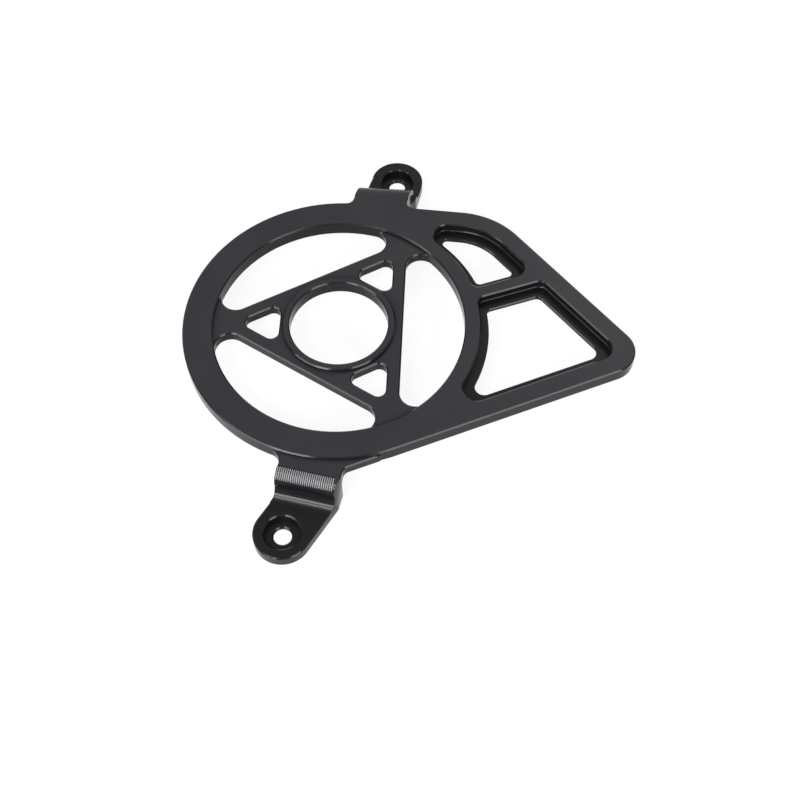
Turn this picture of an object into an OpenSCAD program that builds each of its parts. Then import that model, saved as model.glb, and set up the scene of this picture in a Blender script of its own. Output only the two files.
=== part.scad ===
/* [Plate] */
// Height of the top face above the mounting face
overall_height = 17.1; // [15.5:0.1:19]
// Thickness of the plate
plate_thickness = 5.6; // [5:0.1:6.5]
// Outer radius of the ring
ring_outer_radius = 60; // [59.5:0.1:60.5]
// Inner radius of the ring
ring_inner_radius = 48.5; // [47.5:0.1:49.5]
// Bevel on the top edges
bevel = 0.5; // [0.3:0.05:0.6]

/* [Web] */
// Radius of the open centre
centre_hole_radius = 19; // [17:0.1:20]
// Outer radius of the raised hub rim
hub_outer_radius = 21.9; // [21:0.1:22.2]
// Depth of the web below the top face
web_recess = 1.65; // [1:0.05:2.2]
// Direction of the first web corner
web_turn = 57; // [50:1:64]
// Length by which the web's corners reach into the ring
web_corner_reach = 0.8; // [0:0.1:2]
// Width of the web arms
web_arm_width = 5.1; // [4.5:0.1:5.6]
// Corner radius of the three large windows
large_window_radius = 6; // [4:0.5:7]
// Width of the web between hub rim and small windows
small_window_gap = 1; // [0.8:0.1:2]
// Corner radius of the small windows
small_window_radius = 3; // [2:0.25:3.5]

/* [Side extension] */
// Direction of the upper edge's normal
upper_edge_angle = 83; // [81:0.5:85]
// Direction of the right edge's normal
right_edge_angle = 38.6; // [37:0.2:40]
// Distance of the right edge beyond the ring
extension_reach = 21.7; // [19:0.1:24]
// Direction of the lower edge's normal
lower_edge_angle = -69; // [-71:0.5:-67]
// Radius of the upper shoulder
shoulder_radius = 32.4; // [30:0.2:34]
// Radius of the lower right corner
corner_radius = 10.6; // [9:0.2:13]

/* [Stepped windows] */
// Width of the rim round the stepped windows
rim_width = 7.45; // [7:0.05:8]
// Width of the ring beside the stepped windows
ring_band = 6.25; // [5.5:0.05:7]
// Direction of the cross bar
bar_angle = 17.9; // [16:0.1:20]
// Offset of the bar's upper wall from the ring centre
bar_offset = -1; // [-2:0.1:0]
// Width of the cross bar
bar_width = 5.1; // [4.5:0.1:6]
// Depth of the ledge below the top face
ledge_depth = 4.1; // [3.4:0.1:4.4]
// Width of the ledge along the rim
ledge_width = 4.1; // [3.6:0.1:4.4]
// Width of the ledge along the bar and the lower edge
near_ledge_width = 3.8; // [3.2:0.1:4.2]
// Width of the ledge along the ring
ring_ledge_width = 3.1; // [2.6:0.1:3.4]
// Small corner radius of the stepped windows
tight_corner_radius = 3; // [2.5:0.1:3.5]
// Wide corner radius of the stepped windows
wide_corner_radius = 5.5; // [4.5:0.1:6]
// Corner radius of the through openings
opening_corner_radius = 2; // [1.5:0.1:2.5]

/* [Feet] */
// Thickness of the foot pads
pad_thickness = 4.6; // [4.4:0.1:4.8]
// End radius of the foot pads
pad_radius = 10.7; // [10.3:0.1:11]
// Thickness of the upright legs
leg_thickness = 6.6; // [6:0.1:7]
// Radius under the plate beside the legs
underside_radius = 4; // [3:0.1:4.5]
// Radius of the screw holes
bore_radius = 3.35; // [3.2:0.05:3.5]
// Radius of the screw head recesses
head_recess_radius = 6.6; // [6:0.1:7]
// Depth of the screw head recesses
head_recess_depth = 3.1; // [2.6:0.1:3.2]

/* [Lower foot] */
// Distance of the lower screw hole beyond the ring
lower_hole_reach = 25.3; // [24:0.1:27]
// Direction of the lower screw hole
lower_hole_angle = 256.75; // [256:0.05:257.5]
// Direction the lower pad points to
lower_pad_angle = 237; // [234:0.5:240]
// Direction the lower leg bends down in
lower_bend_angle = 255.5; // [254.5:0.1:256.5]
// Radius of the lower bend
lower_bend_radius = 5; // [4.5:0.1:5.2]
// Radius at the foot of the lower leg
lower_foot_radius = 4.7; // [4.2:0.1:5.1]
// Length of the shelf between the ring and the lower bend
lower_shelf_length = 5.1; // [4.8:0.1:5.6]
// Offset of the lower neck's left side
lower_neck_left = 5.1; // [4.8:0.1:5.6]
// Offset of the lower neck's right side
lower_neck_right = 18.4; // [18:0.1:18.6]
// Radius beside the lower neck on the left
lower_neck_left_radius = 5; // [4:0.1:5.5]
// Depth by which the lower neck's right side leans in at shelf level
slant_depth = 1.5; // [1.1:0.1:1.7]
// Radius beside the lower neck on the right
lower_neck_right_radius = 3.5; // [3:0.1:4.5]
// Depth of the lower shelf below the top face
shelf_depth = 1.65; // [1:0.05:2]
// Number of flutes on the lower bend
flute_count = 28; // [20:1:30]
// Spacing of the flutes
flute_pitch = 0.77; // [0.72:0.01:0.8]
// Offset of the flutes' middle from the lower neck's centre line
flute_middle = 5.8; // [5.5:0.1:6]
// Depth of the flutes
flute_depth = 0.14; // [0.1:0.01:0.18]

/* [Upper foot] */
// Distance of the upper screw hole beyond the ring
upper_hole_reach = 24.9; // [24:0.1:26]
// Direction of the upper screw hole
upper_hole_angle = 74.3; // [73.8:0.1:74.8]
// Direction of the upper neck's right side
upper_neck_angle = 75; // [74.5:0.5:76]
// Direction the upper leg bends down in
upper_bend_angle = 85.2; // [84.5:0.1:86]
// Radius of the upper bend
upper_bend_radius = 9; // [8.5:0.1:9.1]
// Radius at the foot of the upper leg
upper_foot_radius = 3.3; // [2.5:0.1:3.3]
// Length of the upper neck between the ring and its bend
upper_neck_length = 4.2; // [3.8:0.1:4.6]
// Direction of the upper neck's left side
upper_neck_left_angle = 73.2; // [72.8:0.1:73.6]
// Offset of the upper neck's left side
upper_neck_left = 13.1; // [12.9:0.1:13.4]
// Offset of the upper neck's right side
upper_neck_right = 10.4; // [10:0.1:10.6]
// Radius beside the upper neck
upper_neck_radius = 3.2; // [2.8:0.1:3.8]

/* [Hidden] */
$fa = 4;
$fs = 0.7;
eps = 0.2;
seam = 0.01;
plate_low = overall_height - plate_thickness;
web_top = overall_height - web_recess;
shelf_top = overall_height - shelf_depth;
ledge_top = overall_height - ledge_depth;
web_side_distance = (ring_inner_radius + web_corner_reach) / 2;
small_window_distance = hub_outer_radius + small_window_gap;
right_edge_distance = ring_outer_radius + extension_reach;
ring_edge_radius = ring_inner_radius + ring_band;
inside_ring = ring_outer_radius - 10;
lower_hole_distance = ring_outer_radius + lower_hole_reach;
upper_hole_distance = ring_outer_radius + upper_hole_reach;
pad_end = max(lower_hole_distance, upper_hole_distance) + 2 * pad_radius;
lower_bend_start = ring_outer_radius + lower_shelf_length;
upper_bend_start = ring_outer_radius + upper_neck_length;

// Unit vector in a direction
function way(a) = [cos(a), sin(a)];
// Meeting point of two lines given by normal direction and distance
function meet(a, d, b, e) = [
    (d * sin(b) - e * sin(a)) / sin(b - a),
    (e * cos(a) - d * cos(b)) / sin(b - a)];
// Round corner between two straight edges
function corner(a, d, b, e, r, s) = concat(meet(a, d - s * r, b, e - s * r), [r, s]);
// Centre of a round corner between a straight edge and a circle round the ring centre
function beside(a, d, q, side) = way(a) * d + way(a + 90) * side * sqrt(q * q - d * d);
// Round corner outside a circle, against a straight edge
function outer_corner(a, d, ring, r, side, s) =
    concat(beside(a, d - s * r, ring + r, side), [r, s]);
// Round corner inside a circle, against a straight edge
function inner_corner(a, d, ring, r, side) =
    concat(beside(a, d + r, ring - r, side), [r, 1]);
// Direction of travel from one round to the next
function travel(p, q) = atan2(q[1] - p[1], q[0] - p[0])
    + asin(max(-1, min(1, (p[2] * p[3] - q[2] * q[3]) / norm([q[0] - p[0], q[1] - p[1]]))));
// Point where the outline touches a round when travelling in a direction
function touch(p, a) = [p[0] + p[2] * p[3] * sin(a), p[1] - p[2] * p[3] * cos(a)];
// Angle brought into one turn
function turn(a) = a - 360 * floor(a / 360);
function after(path, i) = travel(path[i], path[(i + 1) % len(path)]);
function before(path, i) = after(path, (i + len(path) - 1) % len(path));
// Start and sweep of a round
function start_of(path, i) = path[i][3] > 0 ? before(path, i) - 90 : after(path, i) + 90;
function sweep_of(path, i) = path[i][3] > 0
    ? turn(after(path, i) - before(path, i)) : turn(before(path, i) - after(path, i));
// Half width of the crossing between two touching rounds, or a round and an edge
function crossing(p, q, gap) = gap > 0.01 ? sqrt(2 * seam * p[2])
    : sqrt(4 * seam / (1 / p[2] + 1 / q[2]));
function gap_after(path, i) = let (a = after(path, i))
    norm(touch(path[(i + 1) % len(path)], a) - touch(path[i], a));
// Angle by which a swept section runs past the end of a round
function overrun(p, q, gap) = (gap > 0.01 || p[3] < 0 ? 1.2 : -0.8)
    * crossing(p, q, gap) / max(p[2], 0.01) * 180 / PI;
function raw_points(path) = [for (i = [0:len(path) - 1])
    each [touch(path[i], before(path, i)), touch(path[i], after(path, i))]];
function far_enough(p, q) = norm(p - q) > 0.01;
// Corner points without repeats
function clean(p) = [for (i = [0:len(p) - 1]) if (far_enough(p[i], p[(i + 1) % len(p)])) p[i]];
function facets(r) = r > 40 ? 84 : r > 15 ? 48 : r > 8 ? 32 : 20;

// Slice of a disc
module slice(p, from, sweep) {
    translate([p[0], p[1]]) intersection() {
        circle(r = p[2], $fn = facets(p[2]));
        polygon([[0, 0], way(from) * p[2] * 2, way(from + sweep / 2) * p[2] * 2,
            way(from + sweep) * p[2] * 2]);
    }
}

// Part of a disc that rounds a corner
module cap(p, from, sweep) {
    half = sweep / 2;
    translate([p[0], p[1]]) intersection() {
        circle(r = p[2] + seam, $fn = facets(p[2]));
        rotate([0, 0, from + half])
            translate([p[2] * cos(half) - 3 * sqrt(2 * seam * p[2]) * sin(half), -2 * p[2]])
                square([4 * p[2], 4 * p[2]]);
    }
}

// Area inside an outline of rounds and straight edges
module area(path) {
    difference() {
        union() {
            polygon(clean(raw_points(path)));
            for (i = [0:len(path) - 1])
                if (path[i][3] > 0 && path[i][2] > 0 && sweep_of(path, i) > 0.1)
                    cap(path[i], start_of(path, i), sweep_of(path, i));
        }
        for (i = [0:len(path) - 1])
            if (path[i][3] < 0)
                translate([path[i][0], path[i][1]])
                    circle(r = path[i][2] + seam, $fn = facets(path[i][2]));
    }
}

// Section swept round one round of an outline
module round_run(path, i) {
    p = path[i];
    n = len(path);
    early = overrun(p, path[(i + n - 1) % n], gap_after(path, (i + n - 1) % n));
    late = overrun(p, path[(i + 1) % n], gap_after(path, i));
    first = p[3] > 0 ? early : late;
    if (p[2] > 0 && sweep_of(path, i) > 0.1)
        translate([p[0], p[1], 0]) rotate([0, 0, start_of(path, i) - first])
            rotate_extrude(angle = sweep_of(path, i) + early + late, $fn = facets(p[2]))
                translate([p[2] + seam, 0]) mirror([p[3] > 0 ? 1 : 0, 0]) children();
}

// Section swept along the straight edge after a round
module straight_run(path, i) {
    a = after(path, i);
    q = path[(i + 1) % len(path)];
    gap = gap_after(path, i);
    first = 0.8 * crossing(path[i], q, gap);
    last = 0.8 * crossing(q, path[i], gap);
    start = touch(path[i], a) + way(a) * first;
    if (gap > 0.01)
        translate([start[0], start[1], 0]) rotate([0, 0, a]) rotate([90, 0, 90])
            linear_extrude(gap - first - last) children();
}

module run(path) {
    for (i = [0:len(path) - 1]) {
        round_run(path, i) children();
        straight_run(path, i) children();
    }
}

// Section of a bevel, on the inner side or the outer side of an outline
module bevel_section(z, size, side) {
    translate([0, z]) mirror([side < 0 ? 1 : 0, 0])
        polygon([[-eps, eps], [size + eps, eps], [-eps, -size - eps]]);
}

// Half plane beyond a distance in a direction
module beyond(a, d, reach, half) {
    rotate([0, 0, a]) translate([d, -half]) square([reach, 2 * half]);
}

// Rounds of the outlines
ring_round = [0, 0, ring_outer_radius, 1];
shoulder = corner(right_edge_angle, right_edge_distance, upper_edge_angle, ring_outer_radius,
    shoulder_radius, 1);
low_corner = corner(lower_edge_angle, ring_outer_radius, right_edge_angle, right_edge_distance,
    corner_radius, 1);
lower_hole = way(lower_hole_angle) * lower_hole_distance;
upper_hole = way(upper_hole_angle) * upper_hole_distance;
lower_pad = concat(lower_hole, [pad_radius, 1]);
upper_pad = concat(upper_hole, [pad_radius, 1]);
lower_left_normal = lower_bend_angle - 90;
lower_right_normal = lower_bend_angle + 90;
lower_left_fillet = outer_corner(lower_left_normal, lower_neck_left, ring_outer_radius,
    lower_neck_left_radius, 1, -1);
lower_pad_left_offset = lower_hole * way(lower_pad_angle - 90) + pad_radius;
lower_pad_right_offset = lower_hole * way(lower_pad_angle + 90) + pad_radius;
lower_left_bend = corner(lower_left_normal, lower_neck_left, lower_pad_angle - 90,
    lower_pad_left_offset, 6, -1);
lower_right_bend = corner(lower_pad_angle + 90, lower_pad_right_offset, lower_right_normal,
    lower_neck_right, 1.5, 1);
lower_right_fillet = corner(lower_right_normal, lower_neck_right, lower_edge_angle,
    ring_outer_radius, lower_neck_right_radius, -1);
upper_right_normal = upper_neck_angle - 90;
upper_left_normal = upper_neck_left_angle + 90;
upper_right_fillet = corner(upper_edge_angle, ring_outer_radius, upper_right_normal,
    upper_neck_right, upper_neck_radius, -1);
upper_left_fillet = outer_corner(upper_left_normal, upper_neck_left, ring_outer_radius,
    upper_neck_radius, -1, -1);
upper_pad_side = upper_hole * way(upper_right_normal) + pad_radius;
upper_wall = upper_bend_start + upper_bend_radius;
// Foot rounding, limited by the height of the leg's wall
lower_foot = min(lower_foot_radius, shelf_top - lower_bend_radius - pad_thickness - 0.1);
upper_foot = min(upper_foot_radius, overall_height - upper_bend_radius - pad_thickness - 0.1);
upper_pad_corner = corner(upper_right_normal, upper_pad_side, upper_bend_angle - 180,
    2.5 - upper_wall, 1.2, 1);

// Middle of the footprint, which is the model's origin
middle = [(low_corner[0] + corner_radius - ring_outer_radius) / 2, (lower_hole[1] + upper_hole[1]) / 2];

// Outline of the plate with the upper neck
plate_path = [ring_round, low_corner, shoulder, upper_right_fillet,
    concat(way(upper_right_normal) * (upper_neck_right - 2) + way(upper_neck_angle) * pad_end, [2, 1]),
    concat(way(upper_left_normal) * (upper_neck_left - 2) + way(upper_neck_left_angle) * pad_end, [2, 1]),
    upper_left_fillet];
// Outline of the plate with the lower neck and pad
lower_path = [ring_round, lower_left_fillet, lower_left_bend, lower_pad, lower_right_bend,
    lower_right_fillet, low_corner, shoulder];
// Outline of the upper pad
upper_path = [upper_pad,
    concat(meet(upper_left_normal, upper_neck_left, upper_bend_angle, upper_wall - 4), [0, 1]),
    concat(meet(upper_left_normal, upper_neck_left, upper_bend_angle, ring_outer_radius - 2), [0, 1]),
    concat(meet(upper_right_normal, upper_neck_right, upper_bend_angle, ring_outer_radius - 2), [0, 1]),
    concat(meet(upper_right_normal, upper_neck_right, upper_bend_angle, upper_wall - 5), [0, 1]),
    upper_pad_corner];

// Rounds of the large window beyond one side of the web, running on past the ring
function run_on(p, q, side) = let (t = [p[0], p[1]] / norm([p[0], p[1]]))
    [q * t[0] - 8 * side * t[1], q * t[1] + 8 * side * t[0], 0, 1];
function large_window(a) = let (q = ring_inner_radius + 0.02,
    p = inner_corner(a, web_side_distance, q, large_window_radius, -1),
    r = inner_corner(a, web_side_distance, q, large_window_radius, 1))
    [p, run_on(p, q, 1), concat(way(a) * 1.55 * q, [0, 1]), run_on(r, q, -1), r];

// Rounds of the small window in one web corner
function small_window(a) = [
    corner(a + 180, -small_window_distance, a - 60, web_side_distance - web_arm_width,
        small_window_radius, 1),
    corner(a - 60, web_side_distance - web_arm_width, a + 60, web_side_distance - web_arm_width,
        small_window_radius, 1),
    corner(a + 60, web_side_distance - web_arm_width, a + 180, -small_window_distance,
        small_window_radius, 1)];

bar_normal = bar_angle + 90;
// Rounds of the upper stepped window, with its ledge width and corner radii
function upper_window(w, ring_w, near_w, tight, wide) = [
    [0, 0, ring_edge_radius + ring_w, -1],
    outer_corner(bar_normal - 180, -bar_offset - near_w, ring_edge_radius + ring_w, tight, 1, 1),
    corner(bar_normal - 180, -bar_offset - near_w, right_edge_angle,
        right_edge_distance - rim_width - w, tight + (wide - tight) * 0.8, 1),
    [shoulder[0], shoulder[1], shoulder_radius - rim_width - w, 1],
    outer_corner(upper_edge_angle, ring_outer_radius - rim_width - w, ring_edge_radius + ring_w,
        wide, -1, 1)];
// Rounds of the lower stepped window, with its ledge width and corner radii
function lower_window(w, ring_w, near_w, tight, wide) = [
    [0, 0, ring_edge_radius + ring_w, -1],
    outer_corner(lower_edge_angle, ring_outer_radius - rim_width - near_w,
        ring_edge_radius + ring_w, wide, 1, 1),
    corner(lower_edge_angle, ring_outer_radius - rim_width - near_w, right_edge_angle,
        right_edge_distance - rim_width - w, wide, 1),
    corner(right_edge_angle, right_edge_distance - rim_width - w, bar_normal,
        bar_offset - bar_width - w, tight + 1, 1),
    outer_corner(bar_normal, bar_offset - bar_width - w, ring_edge_radius + ring_w, tight, -1, 1)];

upper_pocket = upper_window(0, 0, 0, tight_corner_radius, wide_corner_radius);
lower_pocket = lower_window(0, 0, 0, tight_corner_radius, wide_corner_radius);
upper_opening = upper_window(ledge_width, ring_ledge_width, near_ledge_width,
    opening_corner_radius, opening_corner_radius);
lower_opening = lower_window(ledge_width, ring_ledge_width, near_ledge_width,
    opening_corner_radius, opening_corner_radius + 1.5);

// Side view of a neck, leg and pad; its underside may start at a height inside the plate
module side_view(top, bend_start, bend_radius, foot_radius, start) {
    wall = bend_start + bend_radius;
    inside = wall - leg_thickness;
    foot = pad_thickness + foot_radius;
    under = plate_low - underside_radius;
    low = inside - underside_radius;
    extra = start > plate_low ? seam : 0;
    difference() {
        union() {
            polygon([[inside_ring, start], [low - 10 * extra, start], [low - 10 * extra, under + 1],
                [low, under + 1], [low, under], [inside, under], [inside, 0], [pad_end, 0],
                [pad_end, pad_thickness], [wall + foot_radius, pad_thickness],
                [wall + foot_radius, foot], [wall, foot], [wall, top - bend_radius],
                [bend_start, top - bend_radius], [bend_start, top], [inside_ring, top]]);
            slice([bend_start, top - bend_radius, bend_radius, 1], 0, 90);
        }
        slice([wall + foot_radius, foot, foot_radius, 1], 180, 90);
        slice([low, under, underside_radius + extra, 1], -30 * sign(extra), 90 + 60 * sign(extra));
    }
}

// Side view swept across a neck
module neck_body(a, left, right) {
    rotate([0, 0, a]) translate([0, left, 0]) rotate([90, 0, 0])
        linear_extrude(left - right) children();
}

module lower_body() {
    difference() {
        intersection() {
            linear_extrude(overall_height) area(lower_path);
            neck_body(lower_bend_angle, 30, -12)
                side_view(shelf_top, lower_bend_start, lower_bend_radius, lower_foot, plate_low);
        }
        slanted_cut();
    }
}

// Slanted side of the lower neck, leaning out towards the pad
module slanted_cut() {
    lean = slant_depth / (shelf_top - 3);
    side = lower_pad_right_offset - slant_depth;
    outside = lower_pad_right_offset + 6.5;
    near_pad = lower_hole * way(lower_pad_angle) - pad_radius;
    rotate([0, 0, lower_pad_angle + 90]) translate([0, -near_pad, 0]) rotate([90, 0, 0])
        mirror([0, 0, 1]) linear_extrude(17.5)
            polygon([[side - 1.5 * lean, shelf_top + 1.5], [side + 15 * lean, shelf_top - 15],
                [outside, shelf_top - 15], [outside, shelf_top + 1.5]]);
}

module upper_body() {
    intersection() {
        union() {
            linear_extrude(overall_height) intersection() {
                area(plate_path);
                beyond(upper_bend_angle, inside_ring - 2, upper_wall - inside_ring + 2.02, 40);
            }
            linear_extrude(pad_thickness + upper_foot) area(upper_path);
        }
        neck_body(upper_bend_angle, 14, -36)
            side_view(overall_height, upper_bend_start, upper_bend_radius, upper_foot,
                plate_low + 1.5);
    }
}

module plate_body() {
    translate([0, 0, plate_low]) linear_extrude(plate_thickness) difference() {
        area(plate_path);
        beyond(upper_bend_angle, upper_wall - leg_thickness - underside_radius + 1.5, 60, 40);
    }
}

module web_cuts() {
    translate([0, 0, web_top]) linear_extrude(web_recess + 1) difference() {
        circle(r = ring_inner_radius, $fn = 84);
        circle(r = hub_outer_radius, $fn = 48);
    }
    translate([0, 0, plate_low - 1]) cylinder(r = centre_hole_radius, h = plate_thickness + 2, $fn = 48);
    for (k = [0:2]) {
        translate([0, 0, plate_low - 1]) linear_extrude(plate_thickness)
            intersection() {
                circle(r = ring_inner_radius, $fn = 84);
                area(large_window(web_turn + 60 + 120 * k));
            }
        translate([0, 0, plate_low - 1]) linear_extrude(plate_thickness)
            area(small_window(web_turn + 120 * k));
    }
}

module stepped_window(pocket, opening) {
    translate([0, 0, ledge_top]) linear_extrude(ledge_depth + 1) area(pocket);
    translate([0, 0, plate_low - 1]) linear_extrude(plate_thickness) area(opening);
}

module screw_cuts(hole) {
    translate([hole[0], hole[1], -1]) cylinder(r = bore_radius, h = pad_thickness + 2, $fn = 32);
    translate([hole[0], hole[1], pad_thickness - head_recess_depth])
        cylinder(r = head_recess_radius, h = head_recess_depth + 1, $fn = 48);
}

// Shallow flutes running over the lower bend
module flutes() {
    half = 0.45 * flute_pitch;
    r = (half * half + flute_depth * flute_depth) / (2 * flute_depth);
    rotate([0, 0, lower_bend_angle]) translate([lower_bend_start, 0, shelf_top - lower_bend_radius])
        rotate([90, 0, 0]) rotate_extrude(angle = 93, $fn = 20)
            for (k = [0:flute_count - 1])
                translate([lower_bend_radius + r - flute_depth,
                    (k - (flute_count - 1) / 2) * flute_pitch - flute_middle])
                    circle(r = r, $fn = 13);
}

// Bevels on the plate's outline, kept short of the upper bend
module plate_bevels() {
    difference() {
        run(plate_path) bevel_section(overall_height, bevel, 1);
        translate([0, 0, overall_height - 5]) linear_extrude(10)
            beyond(upper_bend_angle, upper_bend_start, 60, 40);
    }
}

// Bevels on the shelf of the lower neck
module shelf_bevels() {
    intersection() {
        run(lower_path) bevel_section(shelf_top, bevel, 1);
        translate([0, 0, shelf_top - 2]) linear_extrude(2 + eps) difference() {
            rotate([0, 0, lower_bend_angle]) translate([inside_ring, -14])
                square([lower_bend_start - inside_ring, 43]);
            circle(r = ring_outer_radius + 0.1, $fn = 84);
        }
    }
}

// Bevels on the pads' top edges, kept clear of the legs
module pad_bevels(path, a, wall) {
    intersection() {
        run(path) bevel_section(pad_thickness, bevel, 1);
        translate([0, 0, pad_thickness - 2]) linear_extrude(2 + eps) beyond(a, wall, 60, 60);
    }
}

// Bevel round a round hole
module hole_bevel(hole, r, z) {
    translate([hole[0], hole[1], z - bevel])
        cylinder(r1 = r, r2 = r + bevel + eps, h = bevel + eps, $fn = facets(r));
}

// Bevel round a round boss
module boss_bevel(r, z) {
    translate([0, 0, z]) rotate_extrude($fn = facets(r))
        polygon([[r - bevel - eps, eps], [r + eps, eps], [r + eps, -bevel - eps]]);
}

// Bevel round the inside of a ring, which leaves what stands in the middle
module ring_bevel(r, z) {
    translate([0, 0, z]) rotate_extrude($fn = facets(r))
        polygon([[r - eps, -bevel - eps], [r + bevel + eps, eps], [r - eps, eps]]);
}

module web_bevels() {
    intersection() {
        union() for (k = [0:2]) {
            run(large_window(web_turn + 60 + 120 * k)) bevel_section(web_top, bevel, -1);
            run(small_window(web_turn + 120 * k)) bevel_section(web_top, bevel, -1);
        }
        translate([0, 0, web_top - 2]) cylinder(r = ring_inner_radius, h = 2 + eps, $fn = 84);
    }
    ring_bevel(ring_inner_radius, overall_height);
    hole_bevel([0, 0], centre_hole_radius, overall_height);
    boss_bevel(hub_outer_radius, overall_height);
}

module case_guard() {
    color([0.12, 0.12, 0.13]) translate([-middle[0], -middle[1], 0]) difference() {
        union() {
            plate_body();
            lower_body();
            upper_body();
        }
        web_cuts();
        stepped_window(upper_pocket, upper_opening);
        stepped_window(lower_pocket, lower_opening);
        screw_cuts(lower_hole);
        screw_cuts(upper_hole);
        flutes();
        web_bevels();
        plate_bevels();
        shelf_bevels();
        run(upper_pocket) bevel_section(overall_height, bevel, -1);
        run(lower_pocket) bevel_section(overall_height, bevel, -1);
        run(upper_opening) bevel_section(ledge_top, 0.4, -1);
        run(lower_opening) bevel_section(ledge_top, 0.4, -1);
        pad_bevels(lower_path, lower_bend_angle,
            lower_bend_start + lower_bend_radius + lower_foot);
        pad_bevels(upper_path, upper_bend_angle, upper_wall + upper_foot);
        hole_bevel(lower_hole, head_recess_radius, pad_thickness);
        hole_bevel(upper_hole, head_recess_radius, pad_thickness);
        hole_bevel(lower_hole, bore_radius, pad_thickness - head_recess_depth);
        hole_bevel(upper_hole, bore_radius, pad_thickness - head_recess_depth);
    }
}

case_guard();
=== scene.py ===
# %% [markdown]
# # Engine case saver
#
# A flat guard, milled from one aluminium plate, that bolts over the side cover of a
# motorbike's engine. It is one solid piece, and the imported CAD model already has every
# shape. The shapes could be modelled again here, but the CAD solid is the exact one, so it
# is loaded as it is, and this lesson gives it a finish, a table, a sky, lamps and a camera.

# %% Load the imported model
import math
import bpy
import bmesh
from mathutils import Matrix, Vector


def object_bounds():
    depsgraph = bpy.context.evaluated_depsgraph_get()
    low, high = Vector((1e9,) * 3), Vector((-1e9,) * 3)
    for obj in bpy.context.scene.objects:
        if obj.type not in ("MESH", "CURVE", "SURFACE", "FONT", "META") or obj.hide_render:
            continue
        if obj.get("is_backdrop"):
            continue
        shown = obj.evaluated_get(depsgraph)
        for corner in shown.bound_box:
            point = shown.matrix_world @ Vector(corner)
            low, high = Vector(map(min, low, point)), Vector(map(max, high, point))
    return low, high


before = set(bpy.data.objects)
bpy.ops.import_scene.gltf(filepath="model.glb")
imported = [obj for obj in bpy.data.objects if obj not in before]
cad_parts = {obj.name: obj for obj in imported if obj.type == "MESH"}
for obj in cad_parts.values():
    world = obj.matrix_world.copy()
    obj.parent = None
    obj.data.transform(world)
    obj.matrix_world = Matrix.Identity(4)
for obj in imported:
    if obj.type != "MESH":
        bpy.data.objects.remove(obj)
cad_low, cad_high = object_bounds()
scene = bpy.context.scene
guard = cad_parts["case_guard"]
print("loaded", guard.name, "with", len(guard.data.polygons), "triangles")

# %% [markdown]
# Blender works in metres, and a workshop drawing in millimetres. The lengths could all be
# written in metres, but 0.00077 is hard to read, so each is written in millimetres and
# multiplied by one value, which turns it into metres.

# %% Units
MM = 0.001
print("CAD box in mm:", [round(v / MM, 1) for v in (*cad_low, *cad_high)])

# %% [markdown]
# The photograph looks down on the part from the front, at about 58 degrees above the
# table, with a long lens. The camera could be placed by eye, but the ring's circles and
# the straight edges fix it by measurement, and the numbers below are what came out. The
# camera's own directions come first: it looks forward and down, with a very small roll.

# %% Directions of the camera
CAMERA_ELEVATION = math.radians(57.957)
CAMERA_ROLL = math.radians(-0.578)

right = Vector((1, 0, 0))
forward = Vector((0, math.cos(CAMERA_ELEVATION), -math.sin(CAMERA_ELEVATION)))
up = right.cross(forward)
rolled_right = math.cos(CAMERA_ROLL) * right + math.sin(CAMERA_ROLL) * up
rolled_up = -math.sin(CAMERA_ROLL) * right + math.cos(CAMERA_ROLL) * up
print("camera looks along", [round(v, 3) for v in forward])

# %% [markdown]
# A camera looks along its own -Z axis, with +Y as its up. A constraint could aim it, but
# the three directions are known, so they go straight into its matrix as the columns for
# X, Y and Z. The focal length and the sensor's width are in millimetres, as on a real lens.

# %% Camera at the photograph's angle
CAMERA_PLACE = Vector((-3.039, -290.471, 425.466)) * MM
FOCAL_LENGTH = 58.67
SENSOR_WIDTH = 36
NEAREST_SEEN = 10 * MM
FARTHEST_SEEN = 20

lens = bpy.data.cameras.new("photo_camera")
lens.sensor_width = SENSOR_WIDTH
lens.lens = FOCAL_LENGTH
lens.clip_start = NEAREST_SEEN
lens.clip_end = FARTHEST_SEEN
camera = bpy.data.objects.new("photo_camera", lens)
scene.collection.objects.link(camera)
turn = Matrix((rolled_right, rolled_up, -forward)).transposed()
camera.matrix_world = Matrix.Translation(CAMERA_PLACE) @ turn.to_4x4()
scene.camera = camera
print("camera at", [round(v / MM) for v in CAMERA_PLACE], "mm")

# %% [markdown]
# A colour is written as on a screen, in the sRGB code, but the renderer counts with linear
# light. The codes could be turned by hand, but then nobody could read them. The sRGB curve
# is a straight line near black and a power curve above it.

# %% Colours
def linear(code):
    channels = []
    for start in (1, 3, 5):
        level = int(code[start:start + 2], 16) / 255
        curved = ((level + 0.055) / 1.055) ** 2.4
        channels.append(level / 12.92 if level <= 0.04045 else curved)
    return (*channels, 1)


print("middle grey of a screen in linear light:", round(linear("#808080")[0], 3))

# %% [markdown]
# A material is a small network of nodes. It could be joined up by hand in the editor, but
# a script gives the same one each time. `add` puts in one node with its settings, its
# values and its links, and `new_material` starts an empty network.

# %% Nodes and materials
def add(tree, kind, links=(), **values):
    node = tree.nodes.new(kind)
    for name, value in values.items():
        setattr(node, name, value)
    for socket, source in dict(links).items():
        if isinstance(source, bpy.types.NodeSocket):
            tree.links.new(source, node.inputs[socket])
        else:
            node.inputs[socket].default_value = source
    return node


def new_material(name):
    material = bpy.data.materials.new(name)
    material.use_nodes = True
    material.node_tree.nodes.clear()
    return material, material.node_tree


print("helpers ready: linear, add, new_material")

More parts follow.
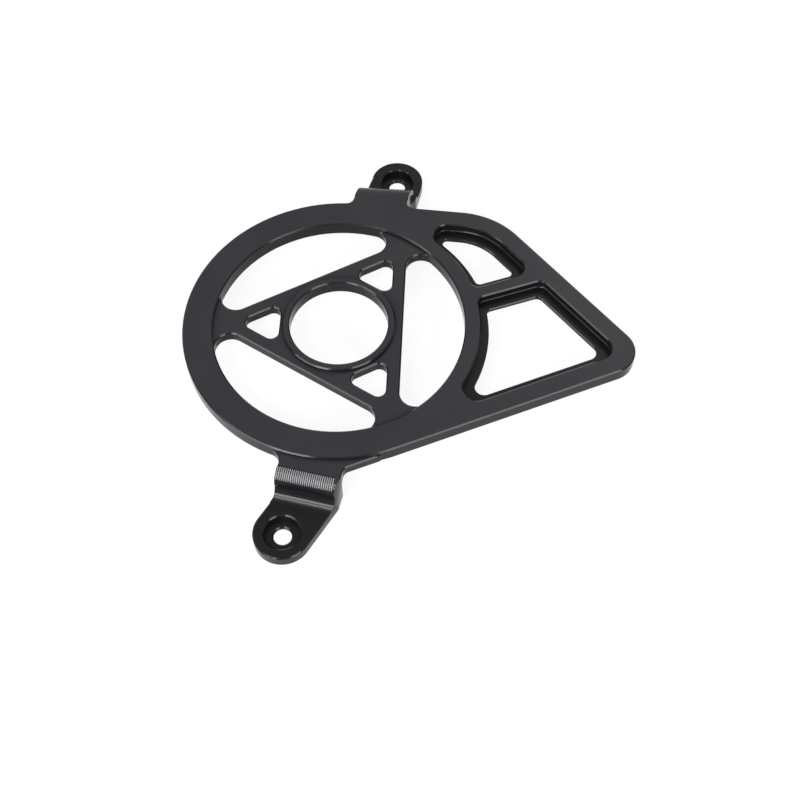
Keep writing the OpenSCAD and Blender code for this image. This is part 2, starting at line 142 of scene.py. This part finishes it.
# %% [markdown]
# The finish is black anodised aluminium. The plate is milled, blasted with fine grit and
# dyed in an acid bath, which leaves a hard, dark oxide skin with a satin look. A picture of
# such a skin could be wrapped round the part, but two noise patterns on the part's own
# coordinates need no unwrapping and keep their real size. Grit leaves pits of about
# 0.15 mm, too fine to show at this distance, so they are drawn as 0.5 mm. The dye takes a
# little unevenly, over patches of some 25 mm.

# %% Grit and dye
GRIT = 0.5 * MM
DYE_PATCH = 25 * MM

satin, tree = new_material("satin_black_anodised_aluminium")
place = add(tree, "ShaderNodeTexCoord")
grit = add(tree, "ShaderNodeTexNoise", {"Vector": place.outputs["Object"],
    "Scale": 1 / GRIT, "Detail": 3, "Roughness": 0.6})
patches = add(tree, "ShaderNodeTexNoise", {"Vector": place.outputs["Object"],
    "Scale": 1 / DYE_PATCH, "Detail": 4, "Roughness": 0.55})
skin = add(tree, "ShaderNodeMapRange", {"Value": patches.outputs["Fac"],
    "From Min": 0.35, "From Max": 0.65})
print("grit drawn as", round(GRIT / MM, 2), "mm, dye patches", round(DYE_PATCH / MM), "mm")

# %% [markdown]
# The ledges, recesses and feet lie below the top face and the web and the shelf 1.65 mm
# below it, and they are painted darker, as painted shade. Each kind of face could have a
# material of its own, but the CAD model has one for the whole part, so the height of a
# point tells the two apart. The painted shade sets in over 0.9 mm just below the shelf,
# where there are only walls.

# %% Painted shade on the lower faces
TOP_HEIGHT = cad_high.z
SHELF_HEIGHT = TOP_HEIGHT - 1.65 * MM
PALE_FROM = SHELF_HEIGHT - 0.1 * MM
DARK_BELOW = SHELF_HEIGHT - 1.0 * MM
# The darkest colour is the painted shade of the ledges, recesses and feet.
PALE_DYE, PALER_DYE, LOW_FACE_SHADE = "#1f1f23", "#232326", "#0a0a0b"

spot = add(tree, "ShaderNodeSeparateXYZ", {"Vector": place.outputs["Object"]})
# This share is 1 from just below the shelf up, and 0 on the lower faces, which get the
# painted shade.
unshaded_by_height = add(tree, "ShaderNodeMapRange", {"Value": spot.outputs["Z"],
    "From Min": DARK_BELOW, "From Max": PALE_FROM})
top_dye = add(tree, "ShaderNodeMix", {"Factor": skin.outputs["Result"],
    "A": linear(PALE_DYE), "B": linear(PALER_DYE)}, data_type="RGBA")
# This mix lays the painted shade of the lower faces over the dye.
dye = add(tree, "ShaderNodeMix", {"Factor": unshaded_by_height.outputs["Result"],
    "A": linear(LOW_FACE_SHADE), "B": top_dye.outputs["Result"]}, data_type="RGBA")
print("top face at", round(TOP_HEIGHT / MM, 2), "mm")
print("web and shelf at", round(SHELF_HEIGHT / MM, 2), "mm")

# %% [markdown]
# The walls and the fine bevels are cut with the side of the tool, which leaves them
# smoother than a face that looks up, and they are also painted darker, as painted shade.
# They could be picked out face by face, but the surface's own direction already tells: it
# points straight up on a flat face, at 45 degrees on a bevel and level on a wall.

# %% Walls and bevels, with painted shade
BEVEL_SLOPE = math.cos(math.radians(45))
WALL_BELOW = BEVEL_SLOPE + 0.05
FLAT_FROM = 0.95
# The darker colour is painted shade on the walls and bevels.
WALL_SHADE = "#0f0f11"

direction = add(tree, "ShaderNodeSeparateXYZ", {"Vector": place.outputs["Normal"]})
upward = add(tree, "ShaderNodeMapRange", {"Value": direction.outputs["Z"],
    "From Min": WALL_BELOW, "From Max": FLAT_FROM})
# This mix paints the walls and bevels darker, as painted shade.
colour = add(tree, "ShaderNodeMix", {"Factor": upward.outputs["Result"],
    "A": linear(WALL_SHADE), "B": dye.outputs["Result"]}, data_type="RGBA")
print("flat up to", round(math.degrees(math.acos(FLAT_FROM))), "degrees off level")

# %% [markdown]
# The lower bend carries 28 fine flutes, 0.77 mm apart, that lie side by side and run down
# the slope. They are in the solid, but each is only two pixels wide in the picture. More
# pixels would show them, but the picture's size is given, so the side of each flute that
# catches the light is also painted on, as a pale line: a painted highlight. For that, each
# point needs its place on the neck: `along` is its distance from the ring's centre in the
# neck's direction, and `across` its distance to the side.

# %% Places on the neck
RING_CENTRE = Vector((-26.295, 0.648, 0)) * MM
NECK_TURN = math.radians(255.5)

down_neck = Vector((math.cos(NECK_TURN), math.sin(NECK_TURN), 0))
over_neck = Vector((-math.sin(NECK_TURN), math.cos(NECK_TURN), 0))
from_ring = add(tree, "ShaderNodeVectorMath", {0: place.outputs["Object"], 1: RING_CENTRE},
    operation="SUBTRACT")
along = add(tree, "ShaderNodeVectorMath", {0: from_ring.outputs["Vector"], 1: down_neck},
    operation="DOT_PRODUCT")
across = add(tree, "ShaderNodeVectorMath", {0: from_ring.outputs["Vector"], 1: over_neck},
    operation="DOT_PRODUCT")
print("the neck runs down along", [round(v, 2) for v in down_neck])

# %% [markdown]
# A painted highlight has to come back once per flute. A texture of stripes could do that,
# but a cosine keeps the exact spacing: it turns once in each 0.77 mm, and it starts half a
# turn on, because the middle of the bend lies between two flutes. Only the upper part of
# the wave is painted pale.

# %% One painted highlight for each flute
FLUTE_PITCH = 0.77 * MM
FLUTE_MIDDLE = 5.8 * MM
HALF_TURN = math.pi
PALE_WAVE = -0.3, 0.7

phase = add(tree, "ShaderNodeMapRange", {"Value": across.outputs["Value"],
    "From Min": FLUTE_MIDDLE, "From Max": FLUTE_MIDDLE + FLUTE_PITCH,
    "To Min": HALF_TURN, "To Max": 3 * HALF_TURN}, clamp=False)
wave = add(tree, "ShaderNodeMath", {0: phase.outputs["Result"]}, operation="COSINE")
line = add(tree, "ShaderNodeMapRange", {"Value": wave.outputs[0],
    "From Min": PALE_WAVE[0], "From Max": PALE_WAVE[1]})
print("one line each", round(FLUTE_PITCH / MM, 2), "mm")

# %% [markdown]
# The painted highlights stay on the bend, over the width of the 28 flutes. A painted mask
# could hold them there, but the places on the neck give the same: they begin just past the
# start of the bend and fade out 4 mm down it, where the slope turns away from the light.

# %% Where the lines are
FLUTE_COUNT = 28
BEND_START = 65.1 * MM
BEGIN, BEGUN = BEND_START + 0.1 * MM, BEND_START + 0.3 * MM
FADE, FADED = BEND_START + 4.0 * MM, BEND_START + 4.4 * MM
HALF_WIDTH = FLUTE_COUNT * FLUTE_PITCH / 2
# The pale colour is the painted highlight on the lit side of each flute.
GLINT_COLOUR = "#747476"

started = add(tree, "ShaderNodeMapRange", {"Value": along.outputs["Value"],
    "From Min": BEGIN, "From Max": BEGUN})
bright = add(tree, "ShaderNodeMapRange", {"Value": along.outputs["Value"],
    "From Min": FADED, "From Max": FADE})
within = add(tree, "ShaderNodeMath", {0: across.outputs["Value"], 1: FLUTE_MIDDLE,
    2: HALF_WIDTH}, operation="COMPARE")
glint = started.outputs["Result"]
for part in (bright.outputs["Result"], within.outputs[0], line.outputs["Result"]):
    glint = add(tree, "ShaderNodeMath", {0: glint, 1: part}, operation="MULTIPLY").outputs[0]
# This mix paints the flute highlights into the base colour.
colour_with_flute_highlights = add(tree, "ShaderNodeMix", {"Factor": glint, "A": colour.outputs["Result"],
    "B": linear(GLINT_COLOUR)}, data_type="RGBA")
print("flutes reach", round(HALF_WIDTH / MM, 2), "mm to each side")

# %% [markdown]
# The walls of the two stepped windows meet their ledges in a small rounding, which the
# solid leaves out. It could be modelled on a copy, but the CAD mesh has to stay as it is,
# so the shader draws its light. Only the walls of those windows get it, and a wall is known
# by two signs: it lies within reach of a window's middle, and it faces that middle.

# %% Walls of the stepped windows
def faces_window(centre, reach):
    toward = add(tree, "ShaderNodeVectorMath", {0: Vector(centre) * MM,
        1: place.outputs["Object"]}, operation="SUBTRACT")
    turned = add(tree, "ShaderNodeVectorMath", {0: toward.outputs["Vector"],
        1: place.outputs["Normal"]}, operation="DOT_PRODUCT")
    inward = add(tree, "ShaderNodeMath", {0: turned.outputs["Value"], 1: 0},
        operation="GREATER_THAN")
    away = add(tree, "ShaderNodeVectorMath", {0: toward.outputs["Vector"]},
        operation="LENGTH")
    near = add(tree, "ShaderNodeMath", {0: away.outputs["Value"], 1: reach * MM},
        operation="LESS_THAN")
    return add(tree, "ShaderNodeMath", {0: inward.outputs[0], 1: near.outputs[0]},
        operation="MULTIPLY").outputs[0]


lower_wall = faces_window(centre=(44, -6, 15), reach=38)
upper_wall = faces_window(centre=(30, 31, 15), reach=30)
window_wall = add(tree, "ShaderNodeMath", {0: lower_wall, 1: upper_wall},
    operation="MAXIMUM")
print("walls of two windows marked, with", len(tree.nodes), "nodes so far")

# %% [markdown]
# The rounding is 1.4 mm high and begins at the ledge. Its share is 1 at the wall's foot and
# runs out at the top of the rounding. Below the ledge there is none, and 0.05 mm keeps the
# test clear of the ledge's own height.

# %% Foot of a wall
LEDGE_HEIGHT = TOP_HEIGHT - 4.1 * MM
ROUNDING = 1.4 * MM
LEDGE_MARGIN = 0.05 * MM

foot = add(tree, "ShaderNodeMapRange", {"Value": spot.outputs["Z"],
    "From Min": LEDGE_HEIGHT + ROUNDING, "From Max": LEDGE_HEIGHT})
above_ledge = add(tree, "ShaderNodeMath", {0: spot.outputs["Z"],
    1: LEDGE_HEIGHT - LEDGE_MARGIN}, operation="GREATER_THAN")
lean = foot.outputs["Result"]
for part in (above_ledge.outputs[0], window_wall.outputs[0]):
    lean = add(tree, "ShaderNodeMath", {0: lean, 1: part}, operation="MULTIPLY").outputs[0]
print("ledge at", round(LEDGE_HEIGHT / MM, 2), "mm, rounding", round(ROUNDING / MM, 2), "mm")

# %% [markdown]
# On a real rounding the surface turns up more and more towards the ledge. A bump texture
# could give that too, but the direction itself is simpler: some of the upward direction is
# added to it, up to a lean of 62 degrees at the foot, and it is brought back to length 1.

# %% Light on the rounding
STEEPEST_LEAN = math.tan(math.radians(62))

lift = add(tree, "ShaderNodeVectorMath", {0: (0, 0, STEEPEST_LEAN), "Scale": lean},
    operation="SCALE")
leaned = add(tree, "ShaderNodeVectorMath", {0: place.outputs["Normal"],
    1: lift.outputs["Vector"]}, operation="ADD")
rounded_normal = add(tree, "ShaderNodeVectorMath", {0: leaned.outputs["Vector"]},
    operation="NORMALIZE")
print("steepest lean", round(math.degrees(math.atan(STEEPEST_LEAN))), "degrees")

# %% [markdown]
# Roughness says how widely a surface spreads a reflection. Satin anodising is typically
# near 0.3. Matched to the picture, the walls and bevels are near 0.14 and the faces that
# look up near 0.34, and the pits make both change a little from spot to spot. One value
# could serve for all, but then either the edges lose their sharp light or the top face
# becomes a mirror.

# %% Gloss
WALL_GLOSS = 0.1, 0.18
FLAT_GLOSS_ADDED = 0.2
GRIT_LOW, GRIT_HIGH = 0.3, 0.7

wall_gloss = add(tree, "ShaderNodeMapRange", {"Value": grit.outputs["Fac"],
    "From Min": GRIT_LOW, "From Max": GRIT_HIGH,
    "To Min": WALL_GLOSS[0], "To Max": WALL_GLOSS[1]})
gloss = add(tree, "ShaderNodeMath", {0: upward.outputs["Result"], 1: FLAT_GLOSS_ADDED,
    2: wall_gloss.outputs["Result"]}, operation="MULTIPLY_ADD")
print("roughness of walls", WALL_GLOSS, "and of flat faces", FLAT_GLOSS_ADDED, "more")

# %% [markdown]
# The skin is an oxide and no metal, so Metallic is 0 and the IOR keeps its default. It
# reflects less than bare metal, and the dye swallows the rest, so the specular level is
# low. The pits could be cut into the mesh, but they are far too small for that, and a bump
# only bends the light.

# %% Skin of the guard
PIT_DEPTH = 0.012 * MM
PIT_STRENGTH = 0.35
SKIN_REFLECTION = 0.15

pits = add(tree, "ShaderNodeBump", {"Height": grit.outputs["Fac"],
    "Strength": PIT_STRENGTH, "Distance": PIT_DEPTH,
    "Normal": rounded_normal.outputs["Vector"]})
shader = add(tree, "ShaderNodeBsdfPrincipled", {"Base Color": colour_with_flute_highlights.outputs["Result"],
    "Metallic": 0.0, "Roughness": gloss.outputs[0],
    "Specular IOR Level": SKIN_REFLECTION, "Normal": pits.outputs["Normal"]})
add(tree, "ShaderNodeOutputMaterial", {"Surface": shader.outputs["BSDF"]})
for slot in guard.material_slots:
    slot.material = satin
print("material on", guard.name, "with", len(tree.nodes), "nodes")

# %% [markdown]
# The CAD mesh is a set of loose, flat triangles, so a round wall would show its facets. It
# could be merged and smoothed for good, but the mesh itself has to stay as it is. A
# geometry nodes modifier does it without moving a point: it joins the triangles, keeps
# each edge sharp that turns by more than 24 degrees, and shades the rest smooth.

# %% Smooth shading on the round walls
SHARP_TURN = math.radians(24)
JOIN_DISTANCE = 0.0005 * MM

smoother = bpy.data.node_groups.new("smooth_round_walls", "GeometryNodeTree")
for way in ("INPUT", "OUTPUT"):
    smoother.interface.new_socket("Geometry", in_out=way, socket_type="NodeSocketGeometry")
mesh_in = add(smoother, "NodeGroupInput")
joined = add(smoother, "GeometryNodeMergeByDistance", {"Geometry": mesh_in.outputs[0],
    "Distance": JOIN_DISTANCE})
rounded = add(smoother, "GeometryNodeSetShadeSmooth", {"Geometry": joined.outputs[0],
    "Shade Smooth": True}, domain="FACE")
bend = add(smoother, "GeometryNodeInputMeshEdgeAngle")
gentle = add(smoother, "FunctionNodeCompare", {0: bend.outputs["Unsigned Angle"],
    1: SHARP_TURN}, operation="LESS_THAN")
edged = add(smoother, "GeometryNodeSetShadeSmooth", {"Geometry": rounded.outputs[0],
    "Shade Smooth": gentle.outputs["Result"]}, domain="EDGE")
add(smoother, "NodeGroupOutput", {0: edged.outputs[0]})
shading = guard.modifiers.new("smooth_round_walls", "NODES")
shading.node_group = smoother
print("edges that turn more than", round(math.degrees(SHARP_TURN)), "degrees stay sharp")

# %% [markdown]
# Where a large flat face runs into a round wall, it would borrow some of the round one's
# shading. A finer mesh would hide that, but weighted normals need no new points: the larger
# face decides how the edge between them is shaded.

# %% Flat faces stay flat
weights = guard.modifiers.new("weighted_normals", "WEIGHTED_NORMAL")
weights.keep_sharp = True
print("modifiers on", guard.name + ":", [m.name for m in guard.modifiers])

# %% [markdown]
# The part stands on its two feet on a wide, pale table. A curved studio backdrop could
# stand under it, but the picture shows no edge anywhere, so a plane is enough. It lies
# 0.02 mm below the feet, so that the two faces don't flicker through each other.

# %% Table top
TABLE_SIZE = 6.0
TABLE_GAP = 0.02 * MM

bm = bmesh.new()
bmesh.ops.create_grid(bm, x_segments=1, y_segments=1, size=TABLE_SIZE / 2)
bmesh.ops.translate(bm, verts=bm.verts, vec=(0, 0, cad_low.z - TABLE_GAP))
mesh = bpy.data.meshes.new("table")
bm.to_mesh(mesh)
bm.free()
table = bpy.data.objects.new("table", mesh)
scene.collection.objects.link(table)
table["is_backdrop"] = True
print("table", TABLE_SIZE, "m wide, under the feet at", round(cad_low.z / MM, 2), "mm")

# %% [markdown]
# The table and the sky are plain white to the camera and to reflections, but a white that
# bright would also light the part from all sides. Two scenes could be rendered and laid
# over each other, but the Light Path node does it in one: it tells the rays that come
# from the camera, from a glossy face or through a clear one from all the others.

# %% Rays that see the white
def sees_white(tree):
    path = add(tree, "ShaderNodeLightPath")
    seen = add(tree, "ShaderNodeMath", {0: path.outputs["Is Camera Ray"],
        1: path.outputs["Is Glossy Ray"]}, operation="MAXIMUM")
    return add(tree, "ShaderNodeMath", {0: seen.outputs[0],
        1: path.outputs["Is Transmission Ray"]}, operation="MAXIMUM").outputs[0]


print("helper ready: sees_white")

# %% [markdown]
# The table is painted board, matt and nearly white. A pure white that glows would swallow
# the part's soft shadow, and a board that is only lit would come out grey, so the camera
# sees a mix: 88 parts of glowing white and 12 of lit board, which keeps the shadow.

# %% Pale table
TABLE_GLOW = 0.88
BOARD_COLOUR, WHITE = "#f4f4f4", "#ffffff"
BOARD_ROUGHNESS = 0.9
BOARD_REFLECTION = 0.1

paper, table_tree = new_material("pale_table")
share = add(table_tree, "ShaderNodeMath", {0: sees_white(table_tree), 1: TABLE_GLOW},
    operation="MULTIPLY")
board = add(table_tree, "ShaderNodeBsdfPrincipled", {"Base Color": linear(BOARD_COLOUR),
    "Roughness": BOARD_ROUGHNESS, "Specular IOR Level": BOARD_REFLECTION})
glow = add(table_tree, "ShaderNodeEmission", {"Color": linear(WHITE), "Strength": 1.0})
lifted = add(table_tree, "ShaderNodeMixShader", {0: share.outputs[0],
    1: board.outputs["BSDF"], 2: glow.outputs["Emission"]})
add(table_tree, "ShaderNodeOutputMaterial", {"Surface": lifted.outputs["Shader"]})
mesh.materials.append(paper)
print("the camera sees", round(100 * TABLE_GLOW), "% glowing white on the table")

# %% [markdown]
# Real product pictures are taken between white walls, and the sky stands for them. A
# picture of a studio could be wrapped round the scene, but an even white gives the same
# plain background. Where it lights the part it is dimmer than where it is seen, so that
# the black stays black.

# %% White background
SKY_LEVEL = 0.45

world = bpy.data.worlds.new("studio")
world.use_nodes = True
sky_tree = world.node_tree
sky_tree.nodes.clear()
strength = add(sky_tree, "ShaderNodeMapRange", {"Value": sees_white(sky_tree),
    "To Min": SKY_LEVEL, "To Max": 1.0})
sky = add(sky_tree, "ShaderNodeBackground", {"Color": linear(WHITE),
    "Strength": strength.outputs["Result"]})
add(sky_tree, "ShaderNodeOutputWorld", {"Surface": sky.outputs["Background"]})
scene.world = world
print("sky level for diffuse light:", SKY_LEVEL)

# %% [markdown]
# A soft box is a wide, even lamp, and Blender's rectangular area lamp is its like. Spot
# lamps could light the part too, but on a glossy black skin they leave only dots, where a
# wide lamp leaves a long highlight. Each lamp's place is a compass angle and a height angle
# as seen from the part, which is how they are measured from the highlights. A lamp shines
# along its -Z axis, so its +Z axis is turned away from the part.

# %% One soft lamp
LAMP_DISTANCE = 1.2


def soft_lamp(name, compass, height, wide, tall, power):
    compass, height = math.radians(compass), math.radians(height)
    stand = LAMP_DISTANCE * Vector((math.cos(compass) * math.cos(height),
        math.sin(compass) * math.cos(height), math.sin(height)))
    lamp = bpy.data.lights.new(name, "AREA")
    lamp.shape = "RECTANGLE"
    lamp.size = wide
    lamp.size_y = tall
    lamp.energy = power
    holder = bpy.data.objects.new(name, lamp)
    scene.collection.objects.link(holder)
    holder.location = stand
    holder.rotation_euler = stand.to_track_quat("Z", "Y").to_euler()
    print(name, "at", [round(v, 2) for v in stand], "m with", power, "W")


print("lamps stand", LAMP_DISTANCE, "m away")

# %% [markdown]
# Five lamps light the part. The two at the front left, one above the other, run along the
# roundings and the inner edges. The low ones at the left and at the front right catch the
# bevels, and a weak one stands behind. A ring of equal lamps would be simpler, but it would
# light every wall alike, and the picture has bright and dark ones.

# %% Soft lamps
soft_lamp("front_lamp", compass=243, height=52, wide=0.4, tall=0.25, power=9)
soft_lamp("low_lamp", compass=240, height=29, wide=0.4, tall=0.34, power=8)
soft_lamp("right_lamp", compass=307, height=31, wide=0.6, tall=0.4, power=9)
soft_lamp("left_lamp", compass=212, height=25, wide=0.8, tall=0.35, power=9)
soft_lamp("back_lamp", compass=61, height=41, wide=0.5, tall=0.5, power=3)

# %% [markdown]
# Blender can pass the finished picture through a film curve, which makes bright parts
# softer. On a plain white background that would turn white to grey, so the picture is
# shown just as it was counted.

# %% Plain view of the colours
scene.view_settings.view_transform = "Standard"
print("view transform:", scene.view_settings.view_transform)

# %% [markdown]
# The visual model's box is measured again and set against the CAD model's box. The visual
# model has to stay inside the CAD model's box. A hair's breadth would not show by eye, so
# the amount by which it passes the CAD box is printed.

# %% Size of the visual model
new_low, new_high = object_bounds()
growth = max(*(cad_low - new_low), *(new_high - cad_high))
print("visual model passes the CAD box by", round(growth / MM, 4), "mm")
